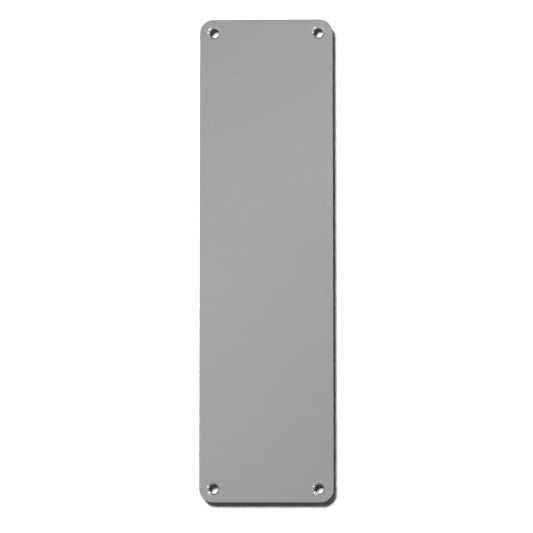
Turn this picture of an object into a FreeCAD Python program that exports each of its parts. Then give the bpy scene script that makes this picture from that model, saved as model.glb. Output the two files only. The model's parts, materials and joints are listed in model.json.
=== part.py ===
import FreeCAD, Part
import math
import os

# Door finger plate: one flat sheet of anodised aluminium that is screwed to a door
# where hands push it. It has rounded corners, an eased front edge and a countersunk
# screw hole near each corner.
#
# Frame, in millimetres: the back face lies on the door in the plane y = 0 and is
# centred on the origin. The front faces -Y, X is the width and Z, upwards, is the height.

# Sheet
PLATE_WIDTH = 70.0
PLATE_HEIGHT = 254.0
PLATE_THICKNESS = 1.5
CORNER_RADIUS = 7.0

# Edges of the sheet: rounded over in front, only deburred behind
FRONT_EDGE_RADIUS = 0.4
BACK_EDGE_BREAK = 0.15

# Screw holes: each is drilled through, then countersunk from the front
HOLE_DIAMETER = 4.8
COUNTERSINK_DIAMETER = 7.0
COUNTERSINK_ANGLE_DEG = 90.0

# Hole centres, measured in from the long sides and from the short ends
HOLE_FROM_SIDE = 7.5
HOLE_FROM_END = 7.0

# How far a cutter runs past the face that it opens
CUTTER_OVERRUN = 1.0

TO_DOOR = FreeCAD.Vector(0, 1, 0)
TO_HAND = FreeCAD.Vector(0, -1, 0)


def rounded_outline():
    """Closed wire of the sheet's outline on the door plane, anticlockwise as the hand sees it."""
    across = PLATE_WIDTH / 2 - CORNER_RADIUS
    upwards = PLATE_HEIGHT / 2 - CORNER_RADIUS
    corner_centres = [(across, upwards), (-across, upwards), (-across, -upwards), (across, -upwards)]
    arcs = []
    for quarter, (x, z) in enumerate(corner_centres):
        start, middle, end = (
            FreeCAD.Vector(x + CORNER_RADIUS * math.cos(turn), 0, z + CORNER_RADIUS * math.sin(turn))
            for turn in (math.radians(90 * quarter + step) for step in (0, 45, 90))
        )
        arcs.append(Part.Arc(start, middle, end))
    edges = []
    for arc, next_arc in zip(arcs, arcs[1:] + arcs[:1]):
        side = Part.LineSegment(arc.EndPoint, next_arc.StartPoint)
        edges += [arc.toShape(), side.toShape()]
    return Part.Wire(edges)


def edges_at_depth(solid, y):
    """The edges of a solid that lie wholly in the plane at that y."""
    return [edge for edge in solid.Edges if all(abs(vertex.Y - y) < 1e-6 for vertex in edge.Vertexes)]


def sheet_blank():
    """The sheet before drilling, with its front edge rounded over and its back edge broken."""
    blank = Part.Face(rounded_outline()).extrude(TO_HAND * PLATE_THICKNESS)
    blank = blank.makeFillet(FRONT_EDGE_RADIUS, edges_at_depth(blank, -PLATE_THICKNESS))
    return blank.makeChamfer(BACK_EDGE_BREAK, edges_at_depth(blank, 0))


def screw_hole_cutter(x, z):
    """The drill and the countersink as one turned form, which leaves the plate through both faces."""
    drill_radius = HOLE_DIAMETER / 2
    rim_radius = COUNTERSINK_DIAMETER / 2
    flare = math.tan(math.radians(COUNTERSINK_ANGLE_DEG / 2))
    countersink_depth = (rim_radius - drill_radius) / flare
    front = -PLATE_THICKNESS
    half_section = [
        (0, CUTTER_OVERRUN),
        (drill_radius, CUTTER_OVERRUN),
        (drill_radius, front + countersink_depth),
        (rim_radius + CUTTER_OVERRUN * flare, front - CUTTER_OVERRUN),
        (0, front - CUTTER_OVERRUN),
    ]
    section = Part.makePolygon([FreeCAD.Vector(x + radius, y, z) for radius, y in half_section], True)
    return Part.Face(section).revolve(FreeCAD.Vector(x, 0, z), TO_DOOR, 360)


def screw_hole_centres():
    """X and Z of the four screw holes."""
    across = PLATE_WIDTH / 2 - HOLE_FROM_SIDE
    upwards = PLATE_HEIGHT / 2 - HOLE_FROM_END
    return [(side * across, end * upwards) for end in (1, -1) for side in (-1, 1)]


def finger_plate():
    """The finished plate: the blank with its four countersunk screw holes."""
    cutters = [screw_hole_cutter(x, z) for x, z in screw_hole_centres()]
    return sheet_blank().cut(cutters)


def main():
    os.makedirs("parts", exist_ok=True)
    plate = finger_plate()
    plate.exportStep("parts/finger_plate.step")
    box = plate.optimalBoundingBox(False, False)
    print(f"finger_plate: {len(plate.Solids)} solid, valid {plate.isValid()}")
    print(f"size {box.XLength:.2f} x {box.YLength:.2f} x {box.ZLength:.2f} mm, {plate.Volume:.1f} mm3")


main()
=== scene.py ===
import json
import math

import bmesh
import bpy
from bpy.props import FloatProperty, FloatVectorProperty, PointerProperty
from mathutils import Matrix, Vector


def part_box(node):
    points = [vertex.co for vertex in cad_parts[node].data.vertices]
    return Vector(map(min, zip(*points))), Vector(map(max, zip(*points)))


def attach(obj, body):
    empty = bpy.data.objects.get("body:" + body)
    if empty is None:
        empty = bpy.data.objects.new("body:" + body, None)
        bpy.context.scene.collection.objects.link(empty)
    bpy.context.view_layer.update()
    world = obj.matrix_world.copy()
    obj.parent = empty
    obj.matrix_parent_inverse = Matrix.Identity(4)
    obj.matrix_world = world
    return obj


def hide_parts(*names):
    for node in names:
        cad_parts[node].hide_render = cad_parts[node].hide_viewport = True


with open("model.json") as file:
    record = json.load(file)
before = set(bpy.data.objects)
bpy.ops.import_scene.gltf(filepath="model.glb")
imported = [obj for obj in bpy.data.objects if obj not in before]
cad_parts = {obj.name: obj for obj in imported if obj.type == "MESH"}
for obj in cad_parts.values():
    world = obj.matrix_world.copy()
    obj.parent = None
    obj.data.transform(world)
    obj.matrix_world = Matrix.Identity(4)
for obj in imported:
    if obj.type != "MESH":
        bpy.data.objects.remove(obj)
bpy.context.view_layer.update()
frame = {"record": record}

bl_info = {
    "name": "Door Finger Plate",
    "version": (1, 0, 0),
    "blender": (4, 5, 0),
    "location": "3D View > Sidebar > Finger Plate",
    "description": "Models a satin anodised door finger plate on its CAD frame, with a small studio",
    "category": "Object",
}

# What the frame gives. The plate stands upright: X is its width, Z its height, and its front faces -Y.
PLATE_NODE = "finger_plate"
PLATE_BODY = "root"
LOW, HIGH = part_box(PLATE_NODE)
FRONT = LOW.y
BACK = HIGH.y
HOLE_PATTERN = next(mount["dims"] for mount in frame["record"]["mounts"] if mount["name"] == "screw_holes")

MM = 0.001

# Two points nearer than this count as one
NEAR = 0.001 * MM

# Corners round a screw hole, and the turn that stands a circle or plane up to face the front
SPOKES = 128
FACING_FRONT = (math.pi / 2, 0, 0)

# Steps across the rounded front edge and across a broken edge, and the angle above which edges stay sharp
ROUND_STEPS = 6
BREAK_STEPS = 2
SHARP_ABOVE = math.radians(30)

# Where the cutter chattered, by the hole's side in X and Z: the angle of each flat in degrees, from +X
# towards +Z, the angle that it takes up, and how many times wider it opens than the cone does
CHATTER_FLATS = {
    (-1, 1): ((139, 4, 1.16), (179, 4, 1.37), (200, 2, 1.4)),
    (1, 1): ((122, 4, 1.09), (179, 4, 1.48)),
    (-1, -1): ((159, 4, 1.34), (218, 9, 1.26), (240, 4, 1.15)),
    (1, -1): ((156, 4, 1.43), (219, 7, 1.35), (245, 10, 1.17)),
}

# Noise seldom leaves this range
NOISE_LOW = 0.3
NOISE_HIGH = 0.7

# Soft boxes that show only as reflections in the metal. A negative lean tips the top of one to the right.
SOFT_PANELS = {
    "front_panel": {
        "place": (-0.015, -0.45, 0.1), "target": (-0.015, 0, 0.1), "width": 0.18, "height": 0.7,
        "lean": math.radians(-51), "radiance": 0.355},
    "side_strip": {
        "place": (0.6, -0.24, 0.26), "target": (0, 0, 0.26), "width": 0.05, "height": 2.0,
        "lean": 0, "radiance": 4},
}

# Power that an area lamp takes for each square metre of it and each unit of radiance
POWER_FOR_RADIANCE = 4


def linear(hex_colour):
    """An sRGB colour, such as #A4A4A4, as linear red, green and blue."""
    channels = [int(hex_colour[start:start + 2], 16) / 255 for start in (1, 3, 5)]
    return tuple(c / 12.92 if c <= 0.04045 else ((c + 0.055) / 1.055) ** 2.4 for c in channels)


class PlateSizes(bpy.types.PropertyGroup):
    """Sizes of the plate, first those that the frame gives"""

    width: FloatProperty(
        name="Width", description="Across the plate", default=HIGH.x - LOW.x, subtype="DISTANCE")
    height: FloatProperty(
        name="Height", description="Up the plate", default=HIGH.z - LOW.z, subtype="DISTANCE")
    thickness: FloatProperty(
        name="Thickness", description="Thickness of the sheet", default=BACK - FRONT, subtype="DISTANCE")
    hole_radius: FloatProperty(
        name="Hole radius", description="Radius of a drilled screw hole",
        default=HOLE_PATTERN["hole_r_mm"] * MM, subtype="DISTANCE")
    hole_spacing_across: FloatProperty(
        name="Hole spacing across", description="Between hole centres across the plate",
        default=HOLE_PATTERN["spacing_x_mm"] * MM, subtype="DISTANCE")
    hole_spacing_up: FloatProperty(
        name="Hole spacing up", description="Between hole centres up the plate",
        default=HOLE_PATTERN["spacing_y_mm"] * MM, subtype="DISTANCE")
    corner_radius: FloatProperty(
        name="Corner radius", description="Radius of the outline's corners",
        default=7 * MM, subtype="DISTANCE")
    front_edge_radius: FloatProperty(
        name="Front edge radius", description="Round-over along the front edge",
        default=0.4 * MM, subtype="DISTANCE")
    back_edge_break: FloatProperty(
        name="Back edge break", description="Deburring along the back edge",
        default=0.15 * MM, subtype="DISTANCE")
    countersink_radius: FloatProperty(
        name="Countersink radius", description="Radius of a countersink at the front face",
        default=3.5 * MM, subtype="DISTANCE")
    countersink_depth: FloatProperty(
        name="Countersink depth", description="Depth of a countersink's cone",
        default=1.1 * MM, subtype="DISTANCE")
    rim_break: FloatProperty(
        name="Rim break", description="Easing of a countersink's rim and of a hole's back edge",
        default=0.06 * MM, subtype="DISTANCE")


class PlateFinish(bpy.types.PropertyGroup):
    """Colours of the plate's surfaces"""

    face_light: FloatVectorProperty(
        name="Face, light", description="Lightest tone of the satin face", subtype="COLOR",
        default=linear("#ADADAD"))
    face_dark: FloatVectorProperty(
        name="Face, dark", description="Darkest tone of the satin face", subtype="COLOR",
        default=linear("#9E9E9E"))
    cut_light: FloatVectorProperty(
        name="Countersink, light", description="Lightest tone of the cut metal", subtype="COLOR",
        default=linear("#C4C4C4"))
    cut_dark: FloatVectorProperty(
        name="Countersink, dark", description="Darkest tone of the cut metal", subtype="COLOR",
        default=linear("#B6B6B6"))


class PlateStudio(bpy.types.PropertyGroup):
    """Stage, lamps and camera"""

    backdrop_gap: FloatProperty(
        name="Backdrop gap", description="From the plate's back to the backdrop",
        default=6.2 * MM, subtype="DISTANCE")
    floor_level: FloatProperty(
        name="Floor level", description="Height of the floor", default=-0.35, subtype="DISTANCE")
    sweep_colour: FloatVectorProperty(
        name="Sweep", description="Floor and backdrop", subtype="COLOR", default=linear("#FAFAFA"))
    key_place: FloatVectorProperty(
        name="Key lamp", description="Place of the key lamp", default=(-0.325, -1.4, 0.445),
        subtype="TRANSLATION")
    key_power: FloatProperty(
        name="Key power", description="Power of the key lamp", default=35, unit="POWER")
    key_width: FloatProperty(
        name="Key width", description="Across the key lamp, which softens its shadows",
        default=0.4, subtype="DISTANCE")
    lens: FloatProperty(
        name="Lens", description="Focal length of the camera", default=168, unit="CAMERA")
    camera_place: FloatVectorProperty(
        name="Camera", description="Place of the camera", default=(0.0427, -1.3, -0.109),
        subtype="TRANSLATION")
    camera_aim: FloatVectorProperty(
        name="Aim", description="Point that the camera looks at", default=(0.0001, 0, -0.0038),
        subtype="TRANSLATION")


def start_piece(name, add_primitive, **settings):
    """Add a primitive with nothing else selected, put its place into its mesh and open it for editing."""
    bpy.ops.object.select_all(action="DESELECT")
    add_primitive(**settings)
    piece = bpy.context.object
    piece.name = name
    piece.data.name = name
    bpy.ops.object.transform_apply(location=True, rotation=True, scale=True)
    bpy.ops.object.mode_set(mode="EDIT")
    return piece


def select(piece, kind, test):
    """In edit mode, select just the vertices, edges or faces whose every corner passes the test."""
    bpy.ops.mesh.select_mode(type=kind)
    bpy.ops.mesh.select_all(action="DESELECT")
    form = bmesh.from_edit_mesh(piece.data)
    parts = {"VERT": form.verts, "EDGE": form.edges, "FACE": form.faces}[kind]
    for part in parts:
        corners = [part] if kind == "VERT" else part.verts
        if all(test(corner.co) for corner in corners):
            part.select_set(True)
    bmesh.update_edit_mesh(piece.data)


def extrude(move=(0, 0, 0)):
    """Extrude what is selected and move the new end of it."""
    bpy.ops.mesh.extrude_region_move(TRANSFORM_OT_translate={"value": move})


def scale(factors, centre):
    """Scale what is selected about a point."""
    bpy.ops.transform.resize(value=factors, center_override=centre)


def widen(factor, centre):
    """Scale what is selected about an axis along Y."""
    scale((factor, 1, factor), centre)


def corner_centre(sizes):
    """Centre of the outline's top right corner, on the front face."""
    return Vector((sizes.width / 2 - sizes.corner_radius, FRONT, sizes.height / 2 - sizes.corner_radius))


def hole_centre(sizes, side=1, end=1):
    """Centre of a screw hole on the front face: its side in X and its end in Z are each 1 or -1."""
    return Vector((side * sizes.hole_spacing_across / 2, FRONT, end * sizes.hole_spacing_up / 2))


def off_hole(point, sizes):
    """Distance of a point from the axis of the screw hole in its own quarter."""
    hole = hole_centre(sizes)
    return math.hypot(abs(point.x) - hole.x, abs(point.z) - hole.z)


def inside_outline(point, sizes):
    """How far a point lies inside the plate's outline."""
    corner = corner_centre(sizes)
    across = abs(point.x) - corner.x
    up = abs(point.z) - corner.z
    out = math.hypot(across, up) if across > 0 and up > 0 else max(across, up)
    return sizes.corner_radius - out


def at_front(point):
    """Whether a point lies on the front face."""
    return point.y < FRONT + NEAR


def at_back(point):
    """Whether a point lies on the back face."""
    return point.y > BACK - NEAR


def hole_rings(sizes):
    """Extrude the drilled hole's circle to rings for the countersink's wall, and one more round its rim."""
    wall_rings = 5
    rim_support = 0.5 * MM
    hole = hole_centre(sizes)
    wall = sizes.countersink_radius - sizes.hole_radius
    radii = [sizes.hole_radius + wall * ring / wall_rings for ring in range(wall_rings + 1)]
    radii.append(sizes.countersink_radius + rim_support)
    bpy.ops.mesh.select_all(action="SELECT")
    for radius, wider in zip(radii, radii[1:]):
        extrude()
        widen(wider / radius, hole)
    return radii


def halve_spokes(piece, sizes, fine_radius):
    """Bridge the last ring to one of half as many corners, as the flat sheet needs fewer than the holes."""
    bridge_width = 0.6 * MM
    coarse_radius = fine_radius + bridge_width
    bpy.ops.mesh.primitive_circle_add(
        vertices=SPOKES // 2, radius=coarse_radius, location=hole_centre(sizes), rotation=FACING_FRONT)
    select(piece, "EDGE", lambda p: off_hole(p, sizes) > fine_radius - NEAR)
    bpy.ops.mesh.bridge_edge_loops()
    select(piece, "EDGE", lambda p: off_hole(p, sizes) > coarse_radius - NEAR)
    return coarse_radius


def corner_cell(piece, sizes, inner_radius):
    """Extrude the last ring to a square cell that fills the corner, and keep its outer corner round."""
    edge_row = 0.7 * MM
    hole = hole_centre(sizes)
    corner = corner_centre(sizes)
    half = sizes.corner_radius - edge_row
    diagonal = math.sqrt(2)

    extrude()
    widen(half / inner_radius, hole)
    bpy.ops.transform.translate(value=corner - hole)
    widen(diagonal, corner)

    def out_of(point):
        return point - corner

    beyond = half - NEAR
    select(piece, "VERT", lambda p: min(out_of(p).x, out_of(p).z) > NEAR and out_of(p).length > beyond)
    widen(1 / diagonal, corner)
    select(piece, "VERT", lambda p: out_of(p).x > beyond and out_of(p).z < NEAR)
    scale((0, 1, 1), corner + Vector((half, 0, 0)))
    select(piece, "VERT", lambda p: out_of(p).z > beyond and out_of(p).x < NEAR)
    scale((1, 1, 0), corner + Vector((0, 0, half)))
    select(piece, "VERT", lambda p: out_of(p).x < -beyond)
    scale((0, 1, 1), corner - Vector((half, 0, 0)))
    select(piece, "VERT", lambda p: out_of(p).z < -beyond)
    scale((1, 1, 0), corner - Vector((0, 0, half)))

    def on_cell(point):
        across, _, up = out_of(point)
        outwards = math.hypot(across, up) if min(across, up) > 0 else max(across, up)
        return max(outwards, -across, -up) > beyond

    select(piece, "EDGE", on_cell)
    extrude()
    widen(sizes.corner_radius / half, corner)


def rows_to_middle(piece, sizes):
    """Extrude the corner's cell across and then down to the plate's two middle lines."""
    row_across = 7 * MM
    row_down = 14 * MM
    corner = corner_centre(sizes)
    left = corner.x - sizes.corner_radius
    bottom = corner.z - sizes.corner_radius

    rows = math.ceil(left / row_across)
    select(piece, "EDGE", lambda p: p.x < left + NEAR)
    for _ in range(rows):
        extrude((-left / rows, 0, 0))
    rows = math.ceil(bottom / row_down)
    select(piece, "EDGE", lambda p: p.z < bottom + NEAR)
    for _ in range(rows):
        extrude((0, 0, -bottom / rows))


def mirror_quarter(piece):
    """Mirror the quarter to all four, as one welded sheet."""
    bpy.ops.object.mode_set(mode="OBJECT")
    bpy.ops.object.modifier_add(type="MIRROR")
    mirror = piece.modifiers[-1]
    mirror.use_axis = (True, False, True)
    mirror.merge_threshold = NEAR
    bpy.ops.object.modifier_apply(modifier=mirror.name)
    bpy.ops.object.mode_set(mode="EDIT")


def thicken_sheet(piece, sizes):
    """Extrude the flat sheet back to the door, then round its front edge and break its back edge."""
    bpy.ops.mesh.select_mode(type="FACE")
    bpy.ops.mesh.select_all(action="SELECT")
    extrude((0, sizes.thickness, 0))
    bpy.ops.mesh.select_all(action="SELECT")
    bpy.ops.mesh.normals_make_consistent(inside=False)

    select(piece, "EDGE", lambda p: at_front(p) and inside_outline(p, sizes) < NEAR)
    bpy.ops.mesh.bevel(offset=sizes.front_edge_radius, segments=ROUND_STEPS, affect="EDGES")
    select(piece, "EDGE", lambda p: at_back(p) and inside_outline(p, sizes) < NEAR)
    bpy.ops.mesh.bevel(offset=sizes.back_edge_break, segments=BREAK_STEPS, affect="EDGES")


def sink_holes(piece, sizes, radii):
    """Push the rings of each hole's wall in to a cone, cut the chatter flats and ease the sharp rims."""
    rim = sizes.countersink_radius
    slope = sizes.countersink_depth / (rim - sizes.hole_radius)
    for radius in radii:
        if radius < rim - NEAR:
            select(piece, "VERT", lambda p: at_front(p) and abs(off_hole(p, sizes) - radius) < NEAR)
            bpy.ops.transform.translate(value=(0, (rim - radius) * slope, 0))

    for (side, end), flats in CHATTER_FLATS.items():
        hole = hole_centre(sizes, side, end)
        for middle, width, flare in flats:
            turn = math.radians(middle)
            reach = math.radians(width) / 2
            towards = Vector((math.cos(turn), 0, math.sin(turn)))

            def on_flat(point):
                out = Vector((point.x - hole.x, 0, point.z - hole.z))
                on_wall = out.length < rim + NEAR and not at_back(point)
                return on_wall and out.angle(towards) < reach

            select(piece, "VERT", on_flat)
            scale((1, 1 / flare, 1), hole)
            bpy.ops.mesh.mark_sharp(use_verts=True)

    select(piece, "EDGE", lambda p: at_front(p) and off_hole(p, sizes) < radii[-1] - NEAR)
    bpy.ops.mesh.bevel(offset=sizes.rim_break, segments=BREAK_STEPS, affect="EDGES")
    select(piece, "EDGE", lambda p: at_back(p) and off_hole(p, sizes) < sizes.hole_radius + NEAR)
    bpy.ops.mesh.bevel(offset=sizes.rim_break, segments=BREAK_STEPS, affect="EDGES")


def add_node(tree, kind, inputs, **settings):
    """Add a node with its settings, and set each of its inputs or link it to an output."""
    made = tree.nodes.new(kind)
    for setting, value in settings.items():
        setattr(made, setting, value)
    for name, value in inputs.items():
        if isinstance(value, bpy.types.NodeSocket):
            tree.links.new(value, made.inputs[name])
        else:
            made.inputs[name].default_value = value
    return made


def start_material(name):
    """A new material with its node tree emptied."""
    material = bpy.data.materials.new(name)
    material.use_nodes = True
    material.node_tree.nodes.clear()
    return material


def metal_surface(tree, base, pattern, roughness, relief_strength, relief_depth):
    """Finish a metal of a base colour: its roughness, given for the pattern's low and high, and its relief
    follow the pattern."""
    rough_low, rough_high = roughness
    rough = add_node(tree, "ShaderNodeMapRange", {
        "Value": pattern, "From Min": NOISE_LOW, "From Max": NOISE_HIGH,
        "To Min": rough_low, "To Max": rough_high}).outputs["Result"]
    relief = add_node(tree, "ShaderNodeBump", {
        "Height": pattern, "Strength": relief_strength, "Distance": relief_depth}).outputs["Normal"]
    shader = add_node(tree, "ShaderNodeBsdfPrincipled", {
        "Base Color": base, "Metallic": 1.0, "Roughness": rough, "Normal": relief})
    add_node(tree, "ShaderNodeOutputMaterial", {"Surface": shader.outputs["BSDF"]})


def satin_anodised_aluminium(finish):
    """Aluminium etched in caustic and clear anodised: an even grey satin with no brushing, that takes
    soft broad highlights and, close up, has a fine sandy grain and a few small dark pits."""
    # The etch's grain is under 0.1 mm and wouldn't show, so it is drawn six times as coarse
    grain_size = 0.6 * MM
    cloud_size = 60 * MM
    cloud_share = 0.2
    tone_low = 0.2
    tone_high = 1.0
    pit_spacing = 14 * MM
    pit_radius = 0.35 * MM
    pit_tone = 0.90

    material = start_material("satin etched anodised aluminium")
    tree = material.node_tree
    place = add_node(tree, "ShaderNodeTexCoord", {}).outputs["Object"]
    grain = add_node(tree, "ShaderNodeTexNoise", {
        "Vector": place, "Scale": 1 / grain_size, "Detail": 1.0, "Roughness": 0.5}).outputs["Fac"]
    cloud = add_node(tree, "ShaderNodeTexNoise", {
        "Vector": place, "Scale": 1 / cloud_size, "Detail": 1.0, "Roughness": 0.4}).outputs["Fac"]
    tone = add_node(tree, "ShaderNodeMath", {
        0: cloud, 1: cloud_share, 2: grain}, operation="MULTIPLY_ADD").outputs["Value"]
    tone = add_node(tree, "ShaderNodeMapRange", {
        "Value": tone, "From Min": tone_low, "From Max": tone_high}).outputs["Result"]
    pits = add_node(tree, "ShaderNodeTexVoronoi", {"Vector": place, "Scale": 1 / pit_spacing})
    pit = add_node(tree, "ShaderNodeMapRange", {
        "Value": pits.outputs["Distance"], "From Min": 0.0, "From Max": pit_radius / pit_spacing,
        "To Min": pit_tone, "To Max": 1.0}, interpolation_type="SMOOTHSTEP").outputs["Result"]
    base = add_node(tree, "ShaderNodeMix", {
        "Factor": tone, 6: (*finish.face_dark, 1), 7: (*finish.face_light, 1)}, data_type="RGBA").outputs[2]
    base = add_node(tree, "ShaderNodeVectorMath", {0: base, 1: pit}, operation="MULTIPLY").outputs["Vector"]
    metal_surface(tree, base, grain, roughness=(0.36, 0.42), relief_strength=0.08, relief_depth=0.02 * MM)
    return material


def cut_aluminium(finish, sizes):
    """Aluminium as a countersink leaves it: bright and smooth, with fine rings round the hole's axis
    where the cutter fed in."""
    # The feed marks are some 0.05 mm apart and wouldn't show, so they are drawn four times as coarse
    ring_pitch = 0.2 * MM
    hole = hole_centre(sizes)

    material = start_material("machined aluminium countersink")
    tree = material.node_tree
    place = add_node(tree, "ShaderNodeTexCoord", {}).outputs["Object"]
    folded = add_node(tree, "ShaderNodeVectorMath", {0: place}, operation="ABSOLUTE").outputs["Vector"]
    spoke = add_node(tree, "ShaderNodeVectorMath", {
        0: folded, 1: (hole.x, 0, hole.z)}, operation="SUBTRACT").outputs["Vector"]
    spoke = add_node(tree, "ShaderNodeVectorMath", {
        0: spoke, 1: (1, 0, 1)}, operation="MULTIPLY").outputs["Vector"]
    radius = add_node(tree, "ShaderNodeVectorMath", {0: spoke}, operation="LENGTH").outputs["Value"]
    rings = add_node(tree, "ShaderNodeTexNoise", {
        "W": radius, "Scale": 1 / ring_pitch, "Detail": 2.0}, noise_dimensions="1D").outputs["Fac"]
    tone = add_node(tree, "ShaderNodeMapRange", {
        "Value": rings, "From Min": NOISE_LOW, "From Max": NOISE_HIGH}).outputs["Result"]
    base = add_node(tree, "ShaderNodeMix", {
        "Factor": tone, 6: (*finish.cut_dark, 1), 7: (*finish.cut_light, 1)}, data_type="RGBA").outputs[2]
    metal_surface(tree, base, rings, roughness=(0.11, 0.08), relief_strength=0.15, relief_depth=0.01 * MM)
    return material


def rolled_aluminium(finish):
    """The sheet's back, anodised but not etched: the mill's faint rolling lines still run up its length."""
    # Rolling lines are some 0.1 mm wide, and are drawn five times as coarse so that they show
    line_width = 0.5 * MM
    line_length = 90 * MM

    material = start_material("mill rolled anodised aluminium")
    tree = material.node_tree
    place = add_node(tree, "ShaderNodeTexCoord", {}).outputs["Object"]
    drawn = add_node(tree, "ShaderNodeMapping", {
        "Vector": place, "Scale": (1 / line_width, 1 / line_width, 1 / line_length)}).outputs["Vector"]
    lines = add_node(tree, "ShaderNodeTexNoise", {
        "Vector": drawn, "Scale": 1.0, "Detail": 3.0, "Roughness": 0.6}).outputs["Fac"]
    tone = add_node(tree, "ShaderNodeMapRange", {
        "Value": lines, "From Min": NOISE_LOW, "From Max": NOISE_HIGH}).outputs["Result"]
    base = add_node(tree, "ShaderNodeMix", {
        "Factor": tone, 6: (*finish.face_dark, 1), 7: (*finish.face_light, 1)}, data_type="RGBA").outputs[2]
    metal_surface(tree, base, lines, roughness=(0.40, 0.30), relief_strength=0.1, relief_depth=0.02 * MM)
    return material


def finish_surfaces(piece, sizes, finish, rim_support):
    """Give the face and edges, the countersunk holes and the back each their own metal."""
    surfaces = [
        (satin_anodised_aluminium(finish), lambda p: True),
        (cut_aluminium(finish, sizes), lambda p: off_hole(p, sizes) < rim_support - NEAR),
        (rolled_aluminium(finish), at_back),
    ]
    for index, (material, test) in enumerate(surfaces):
        piece.data.materials.append(material)
        select(piece, "FACE", test)
        piece.active_material_index = index
        bpy.ops.object.material_slot_assign()


class FINGERPLATE_OT_make_plate(bpy.types.Operator):
    """Model the satin anodised plate, which stands for the CAD solid"""

    bl_idname = "finger_plate.make_plate"
    bl_label = "Make the plate"

    def execute(self, context):
        sizes = context.scene.plate_sizes
        if sizes.countersink_depth >= sizes.thickness:
            raise ValueError("the countersinks are deeper than the sheet is thick")
        plate = start_piece(
            "finger_plate_satin", bpy.ops.mesh.primitive_circle_add, vertices=SPOKES,
            radius=sizes.hole_radius, location=hole_centre(sizes), rotation=FACING_FRONT)
        radii = hole_rings(sizes)
        coarse_radius = halve_spokes(plate, sizes, radii[-1])
        corner_cell(plate, sizes, coarse_radius)
        rows_to_middle(plate, sizes)
        mirror_quarter(plate)
        thicken_sheet(plate, sizes)
        sink_holes(plate, sizes, radii)
        finish_surfaces(plate, sizes, context.scene.plate_finish, radii[-1])
        bpy.ops.object.mode_set(mode="OBJECT")
        bpy.ops.object.shade_smooth_by_angle(angle=SHARP_ABOVE)
        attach(plate, PLATE_BODY)
        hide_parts(PLATE_NODE)
        return {"FINISHED"}


def turned_to(place, target):
    """The turn that points an object's -Z axis from its place to a target."""
    return (Vector(target) - Vector(place)).to_track_quat("-Z", "Y").to_euler()


def white_sweep(studio):
    """Matt white paper that hangs close behind the plate and sweeps out to a floor. It shows from its
    front only, so that the plate can be looked at from behind."""
    breadth = 4.0
    cove_radius = 0.12
    cove_steps = 16
    # The key lamp doesn't reach all of the paper, so beyond the plate's shadow it turns to plain white
    lit_reach = 0.25
    white_from = 0.5
    back = BACK + studio.backdrop_gap
    sweep = start_piece(
        "studio_sweep", bpy.ops.mesh.primitive_plane_add, size=breadth,
        location=(0, back, studio.floor_level + breadth / 2), rotation=FACING_FRONT)
    select(sweep, "EDGE", lambda p: p.z < studio.floor_level + NEAR)
    extrude((0, -breadth, 0))
    select(sweep, "EDGE", lambda p: p.z < studio.floor_level + NEAR and p.y > back - NEAR)
    bpy.ops.mesh.bevel(offset=cove_radius, segments=cove_steps, affect="EDGES")
    bpy.ops.object.mode_set(mode="OBJECT")
    bpy.ops.object.shade_smooth()

    material = start_material("matt white paper")
    tree = material.node_tree
    place = add_node(tree, "ShaderNodeTexCoord", {}).outputs["Object"]
    away = add_node(tree, "ShaderNodeVectorMath", {0: place}, operation="LENGTH").outputs["Value"]
    far = add_node(tree, "ShaderNodeMapRange", {
        "Value": away, "From Min": lit_reach, "From Max": white_from}).outputs["Result"]
    paper = add_node(tree, "ShaderNodeBsdfPrincipled", {
        "Base Color": (*studio.sweep_colour, 1), "Roughness": 0.9, "Specular IOR Level": 0.0})
    white = add_node(tree, "ShaderNodeEmission", {"Color": (1, 1, 1, 1), "Strength": 1.0})
    front = add_node(tree, "ShaderNodeMixShader", {
        "Fac": far, 1: paper.outputs["BSDF"], 2: white.outputs["Emission"]})
    clear = add_node(tree, "ShaderNodeBsdfTransparent", {})
    behind = add_node(tree, "ShaderNodeNewGeometry", {}).outputs["Backfacing"]
    shader = add_node(tree, "ShaderNodeMixShader", {
        "Fac": behind, 1: front.outputs["Shader"], 2: clear.outputs["BSDF"]})
    add_node(tree, "ShaderNodeOutputMaterial", {"Surface": shader.outputs["Shader"]})
    sweep.data.materials.append(material)
    # It takes the plate's shadow, and neither shades the plate nor shows in it
    sweep.visible_diffuse = False
    sweep.visible_glossy = False
    sweep.visible_transmission = False
    sweep.visible_shadow = False


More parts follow.
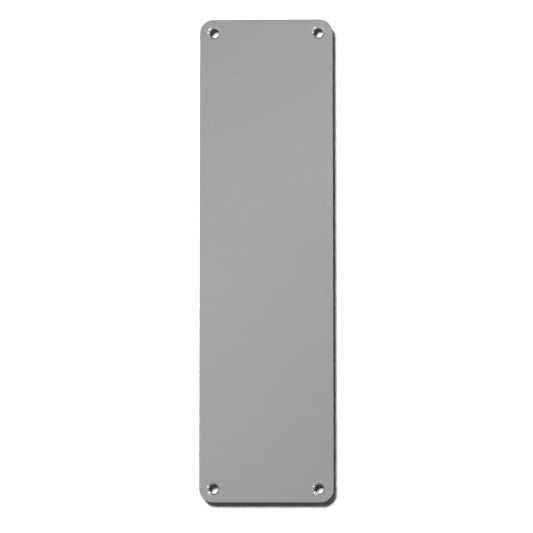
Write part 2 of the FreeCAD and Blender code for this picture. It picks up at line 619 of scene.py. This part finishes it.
def studio_sky(scene):
    """Soft light from all round: white to the camera and, dimmer above and below, in the metal, and only a
    weak fill on the paper, so that it keeps the plate's shadow."""
    world = bpy.data.worlds.new("studio sky")
    world.use_nodes = True
    tree = world.node_tree
    tree.nodes.clear()
    white = (1, 1, 1, 1)
    fill = (0.08, 0.08, 0.08, 1)
    # In the metal it is white a little below the horizon, and dims above and below that
    brightest = -0.3
    white_within = 0.1
    dimmest_from = 0.8
    dimmest = 0.59
    any_bounce = 0.5

    path = add_node(tree, "ShaderNodeLightPath", {})
    towards = add_node(tree, "ShaderNodeTexCoord", {}).outputs["Generated"]
    rise = add_node(tree, "ShaderNodeSeparateXYZ", {"Vector": towards}).outputs["Z"]
    away = add_node(tree, "ShaderNodeMath", {0: rise, 1: brightest}, operation="SUBTRACT").outputs["Value"]
    away = add_node(tree, "ShaderNodeMath", {0: away}, operation="ABSOLUTE").outputs["Value"]
    soft = add_node(tree, "ShaderNodeMapRange", {
        "Value": away, "From Min": white_within, "From Max": dimmest_from,
        "To Min": 1.0, "To Max": dimmest}).outputs["Result"]
    # Light that reaches the paper by way of the plate's back is fill too
    off_paper = add_node(tree, "ShaderNodeMath", {
        0: path.outputs["Diffuse Depth"], 1: any_bounce}, operation="GREATER_THAN").outputs["Value"]
    in_metal = add_node(tree, "ShaderNodeMath", {
        0: path.outputs["Is Glossy Ray"], 1: off_paper}, operation="SUBTRACT", use_clamp=True)
    colour = add_node(tree, "ShaderNodeMix", {
        "Factor": in_metal.outputs["Value"], 6: fill, 7: soft}, data_type="RGBA").outputs[2]
    seen = add_node(tree, "ShaderNodeMath", {
        0: path.outputs["Is Camera Ray"], 1: path.outputs["Is Transmission Ray"]}, operation="MAXIMUM")
    colour = add_node(tree, "ShaderNodeMix", {
        "Factor": seen.outputs["Value"], 6: colour, 7: white}, data_type="RGBA").outputs[2]
    sky = add_node(tree, "ShaderNodeBackground", {"Color": colour, "Strength": 1.0})
    add_node(tree, "ShaderNodeOutputWorld", {"Surface": sky.outputs["Background"]})
    scene.world = world


def key_lamp(studio):
    """The lamp at upper left that casts the plate's soft shadow down and to the right. It lights the paper
    and doesn't show in the metal."""
    bpy.ops.object.light_add(
        type="AREA", location=studio.key_place, rotation=turned_to(studio.key_place, (0, 0, 0)))
    key = bpy.context.object
    key.name = "key_lamp"
    key.data.shape = "DISK"
    key.data.size = studio.key_width
    key.data.energy = studio.key_power
    key.visible_camera = False
    key.visible_glossy = False


def soft_panel(name, place, target, width, height, lean, radiance):
    """A soft box that faces a target, leaned by an angle in its own plane."""
    turn = turned_to(place, target)
    turn.rotate_axis("Z", lean)
    bpy.ops.object.light_add(type="AREA", location=place, rotation=turn)
    panel = bpy.context.object
    panel.name = name
    panel.data.shape = "RECTANGLE"
    panel.data.size = width
    panel.data.size_y = height
    panel.data.energy = POWER_FOR_RADIANCE * width * height * radiance
    panel.visible_camera = False
    panel.visible_diffuse = False


def studio_camera(scene, studio):
    """The camera, nearly square to the plate, from a little below its middle and to its right."""
    bpy.ops.object.camera_add(
        location=studio.camera_place, rotation=turned_to(studio.camera_place, studio.camera_aim))
    camera = bpy.context.object
    camera.name = "studio_camera"
    camera.data.lens = studio.lens
    scene.camera = camera


class FINGERPLATE_OT_set_stage(bpy.types.Operator):
    """Set up the white sweep, the lamps and the camera"""

    bl_idname = "finger_plate.set_stage"
    bl_label = "Set the stage"

    def execute(self, context):
        scene = context.scene
        studio = scene.plate_studio
        if studio.backdrop_gap <= 0:
            raise ValueError("the backdrop would cut into the plate")
        scene.view_settings.view_transform = "Standard"
        white_sweep(studio)
        studio_sky(scene)
        key_lamp(studio)
        for name, settings in SOFT_PANELS.items():
            soft_panel(name, **settings)
        studio_camera(scene, studio)
        return {"FINISHED"}


class FINGERPLATE_PT_sidebar(bpy.types.Panel):
    """Finger plate tools"""

    bl_idname = "FINGERPLATE_PT_sidebar"
    bl_label = "Finger Plate"
    bl_space_type = "VIEW_3D"
    bl_region_type = "UI"
    bl_category = "Finger Plate"

    def draw(self, context):
        scene = context.scene
        groups = (
            (FINGERPLATE_OT_make_plate, (scene.plate_sizes, scene.plate_finish)),
            (FINGERPLATE_OT_set_stage, (scene.plate_studio,)),
        )
        for operator, settings in groups:
            box = self.layout.box()
            for group in settings:
                for name in group.__annotations__:
                    box.prop(group, name)
            box.operator(operator.bl_idname)


CLASSES = (
    PlateSizes,
    PlateFinish,
    PlateStudio,
    FINGERPLATE_OT_make_plate,
    FINGERPLATE_OT_set_stage,
    FINGERPLATE_PT_sidebar,
)


def register():
    for cls in CLASSES:
        bpy.utils.register_class(cls)
    bpy.types.Scene.plate_sizes = PointerProperty(type=PlateSizes)
    bpy.types.Scene.plate_finish = PointerProperty(type=PlateFinish)
    bpy.types.Scene.plate_studio = PointerProperty(type=PlateStudio)


def unregister():
    del bpy.types.Scene.plate_studio
    del bpy.types.Scene.plate_finish
    del bpy.types.Scene.plate_sizes
    for cls in reversed(CLASSES):
        bpy.utils.unregister_class(cls)


def main():
    register()
    bpy.ops.finger_plate.make_plate()
    bpy.ops.finger_plate.set_stage()


if __name__ == "__main__":
    main()
